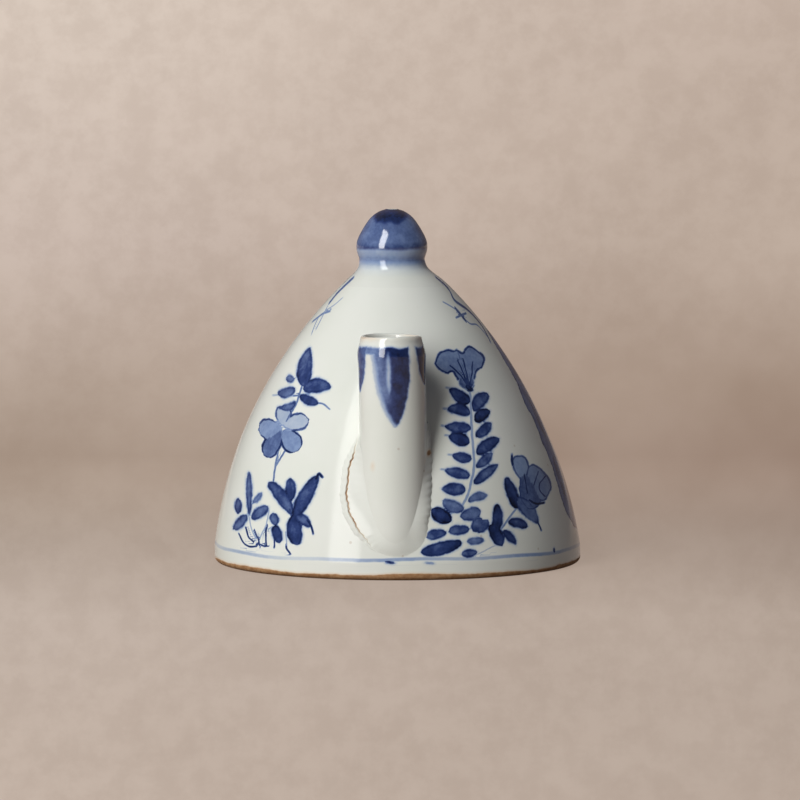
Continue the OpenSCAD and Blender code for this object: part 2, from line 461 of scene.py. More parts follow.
FIVE_PETALS = [
    (-21.2, 27.6, -20.9, 31, 2.9, .26, .68), (-21, 27.5, -16.3, 29, 2.8, .24, .68),
    (-21.4, 27, -25.7, 26.2, 3.4, .42, .74), (-21.5, 26.6, -24.4, 21.7, 2.9, .58, .84),
    (-20.9, 26.6, -18.2, 23.3, 3.7, .44, .82)]
LEFT_STEMS = [
    [(-21.9, 23.2), (-22.4, 20.4), (-22.9, 16.5)], [(-20.5, 23.2), (-22.4, 20.2)],
    [(-17.6, 34.6), (-18.5, 31.8), (-20.3, 28.6)], [(-18.9, 33), (-17.9, 33.2)]]
GRASS = [
    [(-29.3, 6.6), (-28.5, 5.4), (-27.3, 4.9), (-26.2, 5.1)], [(-28, 8), (-27.5, 6.6), (-26.8, 6)],
    [(-26.4, 7.9), (-25.7, 6.6), (-25.4, 5.3)], [(-25.6, 5.6), (-24.6, 5.3), (-24, 5.4)],
    [(-24, 9.2), (-24.2, 7.4), (-24.1, 5.7)], [(-22.5, 7), (-22.6, 5.6)],
    [(-20.3, 6), (-20.2, 5.3), (-19.7, 4.6)]]
PALE_STEMS = [
    [(-27.5, 10.3), (-27, 8.2), (-26.2, 6.6)], [(-23.6, 11.9), (-24.2, 9.2), (-25.3, 6.8)],
    [(-23.6, 8.6), (-22.2, 9.6)], [(-20.4, 8), (-20.2, 6)]]
FERN_LEFT = [
    (14.1, 32.2, 10.2, 34.8, 2.3, .2, .92, .7), (14.1, 30.1, 9.7, 31.1, 2.3, -.5, .88, .7),
    (14.3, 27.5, 9.3, 28, 2.1, 0, .81, .7), (13.9, 24.9, 10, 26.3, 2.4, -.1, .9, .7),
    (14.3, 21.9, 10.6, 22.8, 2, 0, .81, .7), (14, 18.9, 9.2, 20.2, 2, 0, .77, .7),
    (13.2, 16.5, 8.6, 16.8, 2.3, 0, .79, .7), (12.9, 12.9, 8.9, 14.6, 2.3, .3, .67, .5),
    (10.5, 10.9, 6.9, 13, 2.7, .1, .96, .45), (13.9, 9.3, 10, 9.1, 1.9, 0, .77, .42),
    (9.5, 8.8, 5.7, 8.2, 1.9, 0, .77, .45), (12.5, 6.9, 4.8, 5.2, 2.5, .1, .88, .5),
    (15.4, 5, 12.4, 4.7, 1.6, 0, .79, .45), (16.7, 7.1, 13.4, 7, 1.5, 0, .63, .45)]
FERN_RIGHT = [
    (14.7, 30.6, 17.5, 33.5, 2.6, .3, .84, .45), (14.9, 28.8, 17.8, 30.4, 2.3, .2, 1, .5),
    (15.2, 25.9, 18.1, 28.2, 2.1, -.1, .84, .5), (15.3, 22.9, 19.6, 25.3, 2.5, .2, .88, .6),
    (15.2, 20.4, 18.3, 22.9, 1.9, -.1, .74, .5), (14.8, 17.5, 19.3, 20.7, 2, .1, .8, .55),
    (13.6, 14.4, 17.3, 15.2, 1.7, .3, .64, .5), (12.2, 11.6, 16, 12.4, 2.5, 0, .68, .42),
    (14.7, 8.8, 16, 11.2, 2.2, 0, .74, .42), (15.6, 8.6, 17.3, 10.8, 2, 0, .76, .5)]
FERN_STEM = [(14.1, 34.4), (14.4, 27.2), (14.8, 21.2), (14.2, 17.5), (13.4, 15.1), (11.9, 12.6)]
FAN = [
    (7.6, 39.3), (8.2, 40.9), (9.7, 41.6), (11, 41.4), (11.8, 41.5), (12.8, 40.9), (13.8, 42), (15.4, 41.3),
    (16.8, 39.9), (16.4, 38.4), (15.3, 37.8), (15, 36.4), (14.4, 34.4), (13.3, 34.6), (12, 36.2),
    (11, 37.8), (9.7, 37.7), (8.3, 38.4)]
FORKED_LEAVES = [(19.1, 13.6, 18.7, 8.4, 2.1, .3, .93, .4), (17.8, 9.8, 20, 5.9, 2.4, .1, .95, .45)]
SMALL_LEAVES = [
    (23, 12.4, 20.8, 18.3, 2.1, 0, .95, .55), (22.8, 14.4, 27, 9.2, 2.6, .2, .7, .7),
    (21.2, 10.2, 24.9, 9, 1.8, .2, .88, .5), (20.3, 8.6, 22.7, 5.9, 1.5, .1, .86, .7)]
SMALL_PETALS = [
    [(22.1, 21.1), (22.8, 21.8), (24, 21.7), (24.9, 20.6), (25.1, 19.3), (24.5, 18.1), (23.5, 18),
     (22.5, 19.3)],
    [(25, 19.6), (26.3, 19.8), (27.9, 18.5), (29.3, 16.4), (29.3, 14.9), (28.2, 13.4), (26.9, 14), (26, 16),
     (25, 17.4)]]
SMALL_CUP = [
    (23.9, 18.4), (25.2, 18), (26.6, 15.6), (27.4, 13.5), (26.4, 12.2), (25, 12.3), (23.8, 13.8),
    (23.5, 16.4)]
# Each line, here and below, is its marks, its width and its blue, and in the fan only its one end and
# its width.
LEFT_LINES = [
    ([(-14.7, 18.4), (-14.2, 19.3), (-13.7, 18.9)], .6, .92),
    ([(-14.6, 32), (-13.4, 31.9), (-12.5, 31.2)], .34, .5), ([(-21.9, 32.9), (-22.8, 32.7)], .34, .26),
    ([(-16.2, 10.6), (-15.6, 9.8), (-15.3, 8.7)], .42, .85), ([(-19.6, 12.4), (-19, 10.6)], .6, .7)]
FERN_LINES = [
    (FERN_STEM, .48, .38), ([(11.8, 41.4), (12.2, 40.2)], .34, .6), ([(15.4, 4.6), (18.5, 5.9)], .24, .24)]
FAN_LINES = [(10.6, 38.7, .34), (11.9, 39.6, .36), (12.9, 39.8, .36), (14.6, 39, .34)]
SMALL_LINES = [
    ([(22, 21.9), (22.1, 20.6)], .5, .82), ([(24.4, 18.2), (24.9, 15.2)], .32, .82),
    ([(28.3, 17.4), (27.3, 16.4), (27.4, 15), (28.2, 14.2)], .32, .74),
    ([(27, 18.4), (26.2, 16.4)], .3, .72), ([(25.4, 13.6), (26.6, 12.9), (27.8, 12.9)], .5, .92),
    ([(26.9, 9.5), (27.4, 8.3)], .3, .8), ([(19.8, 8.9), (21.1, 10.5), (22.7, 12.4)], .4, .46)]


def draw(brush, leaves, lines):
    """Lays leaves and lines that are given by the values of their strokes."""
    for leaf in leaves:
        brush.leaf(*leaf)
    for line_values in lines:
        brush.path(*line_values)


def spray_left(brush):
    """The left spray: a five-petalled flower with leaves above it, and grasses below."""
    draw(brush, LEFT_LEAVES, LEFT_LINES)
    for petal in FIVE_PETALS:
        brush.petal(*petal)
    for stems, width, tone in ((LEFT_STEMS, 0.34, .55), (GRASS, 0.33, .80), (PALE_STEMS, 0.26, .30)):
        for stem in stems:
            brush.path(stem, width, tone)


def spray_right(brush):
    """The right plant: a fan-shaped flower on a stem of paired leaves, which open out at the foot."""
    draw(brush, FERN_LEFT + FERN_RIGHT + FORKED_LEAVES, FERN_LINES)
    brush.leaf(13.2, 35.2, 14.8, 34.2, 0.9, 0.0, .92)
    brush.patch(FAN, .49, .76)
    for x, z, width in ((12.6, 39.2, 2.4), (13.0, 37.6, 3.0)):
        brush.leaf(x, z, 14.0, 34.4, width, 0.0, .66, .6, WASH)
    for x, z, width in FAN_LINES:
        brush.path([(x, z), ((x + 13.9) / 2 + 0.2, 36.9), (13.9, 34.7)], width, .76)
    # The upper leaves end in a pale trail of the brush.
    for _, _, x, z, *_ in FERN_LEFT[:6]:
        brush.path([(x + 0.4, z), (x - 0.3, z + 0.1)], 0.44, .30)


def spray_small(brush):
    """The small flower at the far right: outlined petals over a dark cup, with a few dark leaves."""
    for marks, wash in zip(SMALL_PETALS, (.42, .48)):
        brush.patch(marks, wash, .64)
    brush.patch(SMALL_CUP, .62, .70)
    draw(brush, SMALL_LEAVES, SMALL_LINES)


# An insect is a knotted body, a feeler and trailing legs. Its marks are parts of its reach.
INSECT = [
    ([(-1, -1), (-.5, -.4), (.3, .6)], .34, .7), ([(-.7, -.9), (0, -.2), (.7, .2)], .3, .7),
    ([(.2, .6), (1.2, 1.3), (2.4, 2.4)], .24, .35), ([(-.8, -.8), (-1.1, -1.6)], .26, .49),
    ([(-.2, -.5), (-.5, -1.5), (-1, -2.4)], .26, .49)]
SHOULDER = [
    ([(-8.1, 54.4), (-9.6, 53), (-11, 51.6), (-12.4, 49.9)], .7, .62),
    ([(-10.2, 50.7), (-11.6, 49.5), (-12.9, 48.6)], .24, .3),
    ([(-12.4, 48.4), (-13.9, 47.7), (-15.6, 46.3)], .46, .48),
    ([(-13, 48.9), (-13.8, 47.3), (-14.8, 45.4)], .3, .38),
    ([(-14.5, 47.2), (-15.2, 45.8), (-15.7, 44.5)], .34, .42),
    ([(9.4, 50.1), (10.6, 49.4), (11.5, 48.8)], .26, .4),
    ([(11.4, 49), (12.5, 47.8), (13.5, 46.6)], .62, .68),
    ([(11.8, 47.4), (12.6, 47.7), (13.4, 47.9)], .4, .55),
    ([(13.4, 46.8), (14.4, 46), (15.6, 45.7), (17, 44.2), (17.9, 43)], .3, .46),
    ([(8.2, 54.4), (10.2, 52.4), (11.4, 50.3), (14, 48.3), (16.4, 45.6), (18, 42.8)], .6, .68)]
ROCK_AND_EDGE_SHADE = [
    (-4.5, 7.2), (-8.2, 10.8), (-8.6, 15.2), (-7.9, 19), (-8, 23.2), (-7.2, 27.4), (-7.4, 31.2), (-5.2, 35),
    (-4.6, 39), (-2.2, 43.4), (.8, 44.2), (2.4, 41.2), (2.2, 38), (4.6, 35.4), (5.4, 31.4), (4.4, 27.8),
    (6.8, 24.6), (8.4, 19.8), (7.2, 15.6), (9.4, 11.8), (8.6, 7.6), (3, 6.2)]
ROCK_PITS = [
    (-5.8, 13, -5, 21, 2.2, .5, .8), (-1.6, 9.6, -2.4, 18.4, 2.8, -.6, .84),
    (3.4, 8.8, 4.4, 17, 2.6, .5, .82), (-4.2, 24.2, -3.6, 31.6, 2, .4, .8),
    (.8, 20.8, .2, 29.2, 2.9, -.5, .84), (2.6, 30, 1.4, 37, 2, .3, .8), (-2, 34.4, -.8, 41, 1.7, .3, .78)]
BAMBOO = [
    (6.4, 27, 11.6, 31.8, 1.8, .3, .86), (6.6, 26.6, 12.8, 27.6, 1.9, .3, .84),
    (6.4, 26.2, 11.4, 23, 1.9, -.3, .88), (3.4, 37.4, 8.6, 40.6, 1.6, .3, .84),
    (3.6, 37, 9.4, 37.2, 1.6, -.2, .86)]


def shoulder_strokes(brush):
    """The insects, and the branches that come over the shoulder from the sides. The marks are given in
    the front elevation and are wrapped to the sheet, which is the shoulder unrolled."""
    for marks, width, tone in SHOULDER:
        x, z = np.array(marks).T
        brush.path(pairs(np.arcsin(x / flank(z)) * flank(z), z), width, tone)


points = places(bell)
bell_x, bell_z = points[:, 0], points[:, 2]
around = np.arctan2(points[:, 0], -points[:, 1])
angle = np.degrees(around)
outside = np.hypot(points[:, 0], points[:, 1]) > flank(bell_z) - WALL / 2
FRONT_END = 86
UNSTEADY = 0.07
front = outside & (np.abs(angle) < FRONT_END) & (points[:, 1] < 0)
bell_paint = Painting(len(points))
unsteady_x = bell_x + tremble(bell_x, bell_z, UNSTEADY)
unsteady_z = bell_z + tremble(bell_z, bell_x, UNSTEADY)
bell_paint.sheet(unsteady_x, unsteady_z, front)
spray_left(bell_paint)
spray_right(bell_paint)
spray_small(bell_paint)
bell_paint.sheet(around * flank(bell_z), bell_z, front & (bell_z > 38))
shoulder_strokes(bell_paint)


def unroll(middle, flip=1, like=0):
    """The sheet that is the wall unrolled about an angle, mirrored where flip is -1, and moved so that
    its middle is the elevation's x that is given."""
    away = (angle - middle + 180) % 360 - 180
    x = like + flip * np.radians(away) * flank(bell_z)
    where = outside & (np.abs(away) < 42) & (np.abs(angle) > FRONT_END)
    return x + tremble(x, bell_z, UNSTEADY), unsteady_z, where


for middle, flip, like, spray in ((176, 1, 12, spray_right), (-132, -1, -21, spray_left),
                                  (-98, 1, 24, spray_small), (128, 1, -22, spray_left)):
    bell_paint.sheet(*unroll(middle, flip, like))
    spray(bell_paint)
INSECT_Z, INSECT_REACH = 45.0, 2.4
bell_paint.sheet(*unroll(150))
for marks, width, tone in INSECT:
    bell_paint.path([(INSECT_REACH * x, INSECT_Z + INSECT_REACH * z) for x, z in marks], width, tone)
# A tall pitted rock with a tuft of bamboo stands along the right side, where the front view ends. Its wash is
# also painted shade, which darkens the bell's right edge.
ROCK_ANGLE = 86.5
away = np.radians(angle - ROCK_ANGLE) * flank(bell_z)
bell_paint.sheet(away + tremble(bell_z, away, 0.25), unsteady_z, outside & (np.abs(angle - ROCK_ANGLE) < 46))
bell_paint.patch(ROCK_AND_EDGE_SHADE, .56, .80)
draw(bell_paint, ROCK_PITS + BAMBOO, [])
# The ring line over the foot: pale, with darker starts of the brush.
bell_paint.sheet(around * FOOT_R, bell_z, outside & (bell_z < 9))
wave = 0.25 * np.sin(around * 3 + 1) + 0.1 * np.sin(around * 11)
strength = 0.25 + 0.07 * np.sin(around * 2.3 + 0.4) + 0.08 * np.sin(around * 7 + 2)
ring_side = (bell_z - 3.75 - wave)[bell_paint.where]
fade = np.clip((1.1 - np.abs(ring_side)) / 0.4, 0, 1)
bell_paint.lay(LINE, -np.abs(ring_side), strength[bell_paint.where] * fade, ring_side / 0.62)
for x0, x1, z, width, tone in ((-1.9, 0.1, 3.45, 0.55, .96), (5.4, 7.4, 3.3, 0.35, .45),
                               (35.2, 36.0, 3.9, 1.0, .86)):
    bell_paint.leaf(x0, z + 0.15, x1, z - 0.12, width, 0.0, tone, .5)
glaze_end = 1.05 + 0.14 * np.sin(around * 5 + 0.5) + 0.09 * np.sin(around * 13)
glaze_end += 0.2 * np.exp(-(around / 0.2) ** 2)
bare = np.where(outside, glaze_end - bell_z, 1.0)
bell_paint.keep(bell, np.where(bell_z > BELL_H - 0.05, -0.5, bare))


# The painting's colour under glaze, by its strength from bare glaze to the darkest blue.
COBALT = ((0.0, (213, 215, 209)), (0.12, (188, 196, 203)), (0.25, (156, 169, 190)), (0.40, (124, 144, 181)),
          (0.55, (86, 104, 147)), (0.70, (46, 62, 110)), (0.82, (32, 46, 90)), (0.92, (24, 33, 66)),
          (1.0, (16, 20, 40)))


def surfaced(tree, output, colour, rough, height, depth, strength, shine=0.5):
    """Ends a material: a surface of that colour and roughness, with relief of that depth in metres."""
    bump = wire(tree, "Bump", {"Height": height, "Distance": depth, "Strength": strength})
    shader = wire(tree, "BsdfPrincipled", {"Base Color": colour, "Roughness": rough, "IOR": 1.5,
                  "Specular IOR Level": shine, "Normal": bump.outputs["Normal"]})
    tree.links.new(shader.outputs[0], output.inputs["Surface"])


def glazed(name, soft=0.26, shine=0.18, gloss=0.10, pool=1.0):
    """Painted porcelain under clear glaze: three layers of blue that bleed a little, uneven glaze which
    thins to tan at its end, and tan clay with a rusty edge beyond it. Soft is how far a stroke fades
    out in mm, shine and gloss are the glaze's mirror and roughness, and pool is how much the blue
    gathers towards a stroke's edge."""
    material, tree, output = new_material(name)
    place = wire(tree, "TexCoord").outputs["Object"]

    def kept(attribute, part="Fac"):
        """What the painting keeps under that name."""
        return wire(tree, "Attribute", attribute_name=attribute).outputs[part]

    depth, tone = axes_of(tree, kept("ink_depth", "Vector")), axes_of(tree, kept("ink_tone", "Vector"))
    cloud, streak = noise(tree, place, 480.0, 4.0), noise(tree, place, 1700.0, 3.0)
    drift, sway = noise(tree, place, 60.0, 3.0), noise(tree, place, 1100.0, 2.0)
    unsure = maths(tree, "SUBTRACT", cloud, 0.5)
    bleed = maths(tree, "MULTIPLY_ADD", maths(tree, "SUBTRACT", sway, 0.5), 0.34,
                  maths(tree, "MULTIPLY", unsure, 0.30))
    wash_depth = maths(tree, "ADD", bleed, depth[WASH])
    stroke_depth = maths(tree, "ADD", bleed, depth[STROKE])
    wash_edge = maths(tree, "ABSOLUTE", wash_depth)
    line_side = maths(tree, "ABSOLUTE", maths(tree, "MULTIPLY_ADD", unsure, 0.3, depth[LINE]))
    pooled = ramp(tree, stroke_depth, 0.10, 0.60, 1 + 0.06 * pool, 1 - 0.14 * pool)
    strokes = maths(tree, "MULTIPLY", ramp(tree, stroke_depth, -soft, soft), pooled)
    # Washes, their rims, strokes, lines, and a haze round strokes and washes: the strongest one shows.
    ink = 0.0
    for cover, blue in ((ramp(tree, wash_depth, -soft, soft), tone[WASH]),
                        (ramp(tree, wash_edge, 0.08, 0.36, 1.0, 0.0), kept("ink_rim")),
                        (strokes, tone[STROKE]), (ramp(tree, line_side, 0.25, 0.75, 1.0, 0.0), tone[LINE]),
                        (ramp(tree, stroke_depth, -DEEPEST, 0.1, 0.0, 0.20), tone[STROKE]),
                        (ramp(tree, wash_depth, -DEEPEST, 0.1, 0.0, 0.16), tone[WASH])):
        ink = maths(tree, "MAXIMUM", maths(tree, "MULTIPLY", cover, blue), ink)
    uneven = maths(tree, "ADD", ramp(tree, cloud, 0.3, 0.7, 0.90, 1.06),
                   ramp(tree, streak, 0.3, 0.7, -0.04, 0.04))
    blue = colour_steps(tree, maths(tree, "MULTIPLY", ink, uneven), COBALT)
    tint = mixed(tree, ramp(tree, drift, 0.35, 0.65), (1, 1, 1, 1), (0.965, 0.975, 0.96, 1))
    glaze = mixed(tree, 1.0, blue, tint, "MULTIPLY")
    fleck = wire(tree, "TexVoronoi", {"Vector": place, "Scale": 150.0}).outputs["Distance"]
    glaze = mixed(tree, ramp(tree, fleck, 0.03, 0.05, 0.30, 0.0), glaze, linear(150, 118, 84))
    grain = noise(tree, place, 900.0, 6.0)
    clay = mixed(tree, ramp(tree, grain, 0.35, 0.65), linear(136, 100, 68), linear(162, 127, 92))
    # Painted contact shadow: the clay darkens over its lowest 0.8 mm, next to the table.
    clay = mixed(tree, ramp(tree, axes_of(tree, place)[2], 0.0, 0.0008, 0.75, 0.0), clay, linear(84, 58, 38))
    edge = maths(tree, "MULTIPLY_ADD", unsure, 0.5, kept("bare_clay"))
    clay = mixed(tree, ramp(tree, edge, 0.05, 0.4, 0.35, 0.0), clay, linear(168, 122, 80))
    glaze = mixed(tree, ramp(tree, edge, -0.55, 0.05, 0.0, 0.5), glaze, linear(212, 188, 158))
    bared = ramp(tree, edge, -0.14, 0.14)
    colour = mixed(tree, bared, glaze, clay)
    rough = maths(tree, "MULTIPLY_ADD", drift, 0.03, ramp(tree, bared, 0.0, 1.0, gloss, 0.72))
    ripple = noise(tree, place, 110.0, 2.0)
    grit = maths(tree, "MULTIPLY", grain, bared)
    height = maths(tree, "MULTIPLY_ADD", grit, 0.25, maths(tree, "MULTIPLY", ripple, 0.25))
    surfaced(tree, output, colour, rough, height, 0.00035, 0.6, shine)
    return material


bell.data.materials.clear()
bell.data.materials.append(glazed("bell_glaze"))
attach(bell, "root")
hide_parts("bell_wall")


# The base is a flat disc of the same clay, pressed up against the seat inside the foot and left
# unglazed. Its underside shows the faint rings of the wheel. A coil of slip seals it from inside.
DISC_R, DISC_LOW, DISC_HIGH, BEVEL = 33.24, 0.5, 3.5, 0.25
DISC_HUB, DISC_COLUMNS = 0.9, 160
ring_radii = np.linspace(DISC_HUB, DISC_R - BEVEL, 60)
ring_depth = 0.05 * np.sin(ring_radii * 1.55) * np.clip(ring_radii / 8, 0, 1)
disc_profile = np.concatenate([
    pairs(ring_radii, DISC_LOW + np.clip(ring_depth, 0, None)),
    [(DISC_R, DISC_LOW + BEVEL), (DISC_R, DISC_HIGH), (18.0, DISC_HIGH), (DISC_HUB, DISC_HIGH)]])
disc_angles = np.radians(line(0, 360, DISC_COLUMNS))
disc = make_piece("base_disc_turned", turned(disc_profile, disc_angles),
                  capped(len(disc_profile), DISC_COLUMNS))


def bare_clay(name):
    """Unglazed clay: two tans mottled by fine grain, rubbed paler patches, iron specks and a grit bump."""
    material, tree, output = new_material(name)
    place = wire(tree, "TexCoord").outputs["Object"]
    grain = noise(tree, place, 900.0, 6.0)
    patch = noise(tree, place, 70.0, 4.0)
    speck = wire(tree, "TexVoronoi", {"Vector": place, "Scale": 420.0}).outputs["Distance"]
    colour = mixed(tree, ramp(tree, grain, 0.3, 0.7), linear(168, 134, 100), linear(193, 160, 127))
    colour = mixed(tree, ramp(tree, patch, 0.5, 0.75, 0.0, 0.6), colour, linear(204, 180, 152))
    colour = mixed(tree, ramp(tree, speck, 0.06, 0.10, 0.7, 0.0), colour, linear(104, 72, 48))
    surfaced(tree, output, colour, 0.78, grain, 0.0002, 0.5)
    return material


biscuit = bare_clay("fired_clay")
disc.data.materials.append(biscuit)
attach(disc, "root")
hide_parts("base_disc")
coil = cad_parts["base_lute"]
if coil.material_slots:
    coil.material_slots[0].material = biscuit
else:
    coil.data.materials.append(biscuit)


# The spout is a thrown tube with a rounded, slightly turned-out lip. Its lower half is cut to the
# curve of the bell, and its bore meets the port. Blue lappets hang from a bare white lip.
SPOUT_Y, SPOUT_LEAN, BORE_R = 29.1, math.tan(math.radians(1.1)), 4.75
TUBE_LOW, LIP_Z, LIP_RISE, BORE_LOW = 3.4, 44.2, 1.1, 9.0
TUBE_COLUMNS = 240


def tube_radius(z):
    """The spout's outer radius: a slow taper, a slight flare just under the lip, and a lower end that
    is drawn in to meet the bell."""
    drawn_in = 0.9 * np.clip((9 - z) / 5, 0, 2) ** 2
    rolled = 0.45 * np.clip((z - 41.6) / 3, 0, 1) ** 1.7
    return 6.42 - 0.0085 * (z - 8) + 0.16 * np.exp(-((z - 41.6) / 1.8) ** 2) - drawn_in - rolled


def tube_drift(z):
    """How far the hand-thrown tube stands to the left of the bell's middle."""
    return -0.72 * np.clip(z / 45, 0, 1) ** 2


tube_rise = line(TUBE_LOW, LIP_Z, 118)
lip = np.radians(line(0, 180, 13))
lip_mid, lip_half = (tube_radius(LIP_Z) + BORE_R) / 2, (tube_radius(LIP_Z) - BORE_R) / 2
bore_fall = line(LIP_Z, BORE_LOW, 26)
tube_profile = np.concatenate([
    [(0.8, TUBE_LOW), (4.0, TUBE_LOW)],
    pairs(tube_radius(tube_rise), tube_rise),
    pairs(lip_mid + lip_half * np.cos(lip), LIP_Z + LIP_RISE * np.sin(lip)),
    pairs(BORE_R - 0.1 * np.clip((34 - bore_fall) / 25, 0, 1), bore_fall),
    [(4.7, BORE_LOW), (2.5, 8.8), (0.8, 8.8)]])
tube_angles = np.radians(line(0, 360, TUBE_COLUMNS))
tube_r, tube_z = tube_profile[:, 0][:, None], tube_profile[:, 1][:, None]
tube_x = tube_drift(tube_z) + tube_r * np.sin(tube_angles) * (1 - 0.012 * np.cos(2 * tube_angles))
tube_y = -(SPOUT_Y + SPOUT_LEAN * tube_z) - tube_r * np.cos(tube_angles)
tube_level = tube_z + 0.10 * np.sin(tube_angles * 2 + 0.6) * np.clip((tube_z - 42) / 3, 0, 1)
tube_points = np.stack([tube_x, tube_y, tube_level + 0 * tube_angles], -1).reshape(-1, 3)
spout = make_piece("spout", tube_points, capped(len(tube_profile), TUBE_COLUMNS))
# The tube is cut by the bell's own surface, a little under it, so that the two leave no gap.
SINK = 0.12
dome_rise = np.linspace(BAND_H, BELL_H, 60)
dome_profile = np.concatenate([[(0.8, -2.0), (FOOT_R - SINK, -2.0)], pairs(flank(dome_rise, SINK), dome_rise),
                               [(0.8, BELL_H)]])
cut_away(spout, make_piece("dome_cutter", turned(dome_profile, tube_angles),
                           capped(len(dome_profile), TUBE_COLUMNS)))

points = places(spout)
spout_z = points[:, 2]
off_x, off_y = points[:, 0] - tube_drift(spout_z), points[:, 1] + SPOUT_Y + SPOUT_LEAN * spout_z
turn = np.arctan2(off_x, -off_y)
# Only the skin beyond the first radius is painted, on a sheet unrolled at the second.
SKIN_R, SHEET_R = 5.6, 6.3
skin = np.hypot(off_x, off_y) > SKIN_R
spout_paint = Painting(len(points))
flat_x = turn * SHEET_R
spout_paint.sheet(flat_x + tremble(spout_z, flat_x, 0.10), spout_z + tremble(flat_x, spout_z, 0.10), skin)


def lappet(brush, levels, left_edge, right_edge, tone, violet=0.0, pale=None, fringe=0.5):
    """A hanging pointed tongue of blue between two edges, each given at a few levels from its tip up.
    It fades in over a fringe on its left, its left part may be a paler violet, and a pale streak may
    run down it."""
    z = brush.z
    left, right = np.interp(z, levels, left_edge), np.interp(z, levels, right_edge)
    top_z = levels[-1] + 0.16 * np.sin(brush.x * 1.3 + 2.2)
    depth = np.minimum(np.minimum(brush.x - left, right - brush.x), top_z - z)
    depth = np.where(z < levels[0], -DEEPEST, depth)
    paler = np.exp(-((brush.x - left - 1.5) / 1.2) ** 2) * np.clip((z - levels[0] - 2.5) / 4, 0, 1)
    shade = tone - violet * paler
    if pale is not None:
        x, low, high, wide = pale
        swell = np.sin(math.pi * np.clip((z - low) / (high - low), 0, 1))
        shade -= 0.60 * np.exp(-((brush.x - x) / (wide * swell ** 0.5 + 0.02)) ** 2) * swell ** 0.6
    brush.lay(STROKE, depth, shade * np.clip((brush.x - left) / fringe, 0.3, 1))


LAPPET_TOP = 43.4
LEVELS = [28.6, 29.6, 30.9, 32.6, 34.5, 37.2, 40.2, 42.6, LAPPET_TOP]
lappet(spout_paint, LEVELS, [0.2, -0.6, -1.4, -2.2, -2.9, -3.6, -3.9, -4.3, -4.5],
       [0.4, 1.2, 1.8, 2.4, 2.9, 3.5, 3.5, 3.5, 3.5], .87, .32, (-0.6, 34.6, 42.9, 0.5), 1.3)
for middle, low, reach, tone in ((-8.3, 34.6, 3.0, .66), (8.0, 36.0, 3.0, .92), (13.9, 31.5, 2.9, .84),
                                 (-14.0, 32.5, 2.8, .82), (19.6, 33.0, 2.7, .8)):
    spread = reach * np.array([0.02, 0.2, 0.38, 0.58, 0.74, 0.88, 0.96, 1.0, 1.0])
    steps = low + (LAPPET_TOP - low) * np.array([0, 0.07, 0.16, 0.28, 0.42, 0.6, 0.8, 0.95, 1.0])
    lappet(spout_paint, steps, middle - spread, middle + spread, tone, 0.1)
# A weaker blue joins their tops on the left.
band_depth = np.minimum(spout_paint.z - 41.9 - 0.2 * np.sin(spout_paint.x), LAPPET_TOP - spout_paint.z)
spout_paint.lay(WASH, np.minimum(band_depth, 3.6 - np.abs(spout_paint.x + 5.2)), .54)
worn = -0.22 - 0.16 * np.sin(turn * 2 + 1.0) - 0.5 * np.abs(spout_z - 45.0)
spout_bare = np.where(spout_z > 43.6, worn, -DEEPEST)
# Two rusty spots, left of the middle and at the right.
for x, z, size, fall in ((-4.3, 21.4, 0.0, 0.55), (7.6, 21.9, 0.05, 0.5)):
    spout_bare = np.maximum(spout_bare, size - fall * np.hypot(flat_x - x, (spout_z - z) * 0.7))
spout_paint.keep(spout, spout_bare)
spout.data.materials.clear()
spout.data.materials.append(glazed("spout_glaze", 0.34, 0.55, 0.08, 0.0))
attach(spout, "root")
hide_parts("spout_tube")


# Slip was pressed into the joint of spout and bell and wiped off to a hollow curve. In drying it
# pulled away on the left, which left a brown crack beside a white ridge.
SEAM = [
    (-6.2, 28.5), (-7.3, 24), (-8.3, 20.5), (-8.8, 16.3), (-8.4, 13.2), (-7.3, 10.6), (-5.4, 7.9),
    (-3.4, 5.7), (0, 4.5), (3.2, 5.2), (5.4, 7.2), (6.2, 10.4), (6.7, 14), (6.8, 18), (6.8, 22), (6.6, 26),
    (6.2, 29)]
TUBE_EDGE = [
    (-5.9, 28.3), (-5.7, 24), (-5.5, 20.5), (-5.2, 16.8), (-4.7, 14), (-3.8, 11.6), (-2.6, 9.4),
    (-1.4, 7.9), (0, 7.2), (1.4, 7.8), (2.6, 9.3), (3.5, 11.4), (4.2, 14), (4.9, 17.6), (5.3, 21.6),
    (5.6, 25.6), (5.9, 28.7)]
SLIP_ROWS = 260


def wall_front(x, z):
    """How far forward the bell's wall lies at a point of the front elevation."""
    return np.sqrt(np.clip(flank(z) ** 2 - x ** 2, 0, None))


def tube_front(x, z):
    """How far forward the spout's front lies there."""
    reach = np.clip(tube_radius(z) ** 2 - (x - tube_drift(z)) ** 2, 0, None)
    return SPOUT_Y + SPOUT_LEAN * z + np.sqrt(reach)


def eased(part):
    """A part from 0 to 1, eased at both ends: three times its square less twice its cube."""
    return part * part * (3 - 2 * part)


seam, tube_edge = smooth_path(SEAM, SLIP_ROWS), smooth_path(TUBE_EDGE, SLIP_ROWS)
along = np.linspace(0, 1, SLIP_ROWS)
left_side = eased(np.clip((0.49 - along) / 0.20, 0, 1) * np.clip(along / 0.10, 0, 1))
ends = np.clip(along / 0.08, 0, 1) * np.clip((1 - along) / 0.10, 0, 1)
unsteady = pairs(tremble(along * 40, along * 17, 0.22), tremble(along * 23, along * 31, 0.15))
seam = seam + unsteady * ends[:, None]
outward = seam - tube_edge
outward /= np.linalg.norm(outward, axis=1)[:, None]
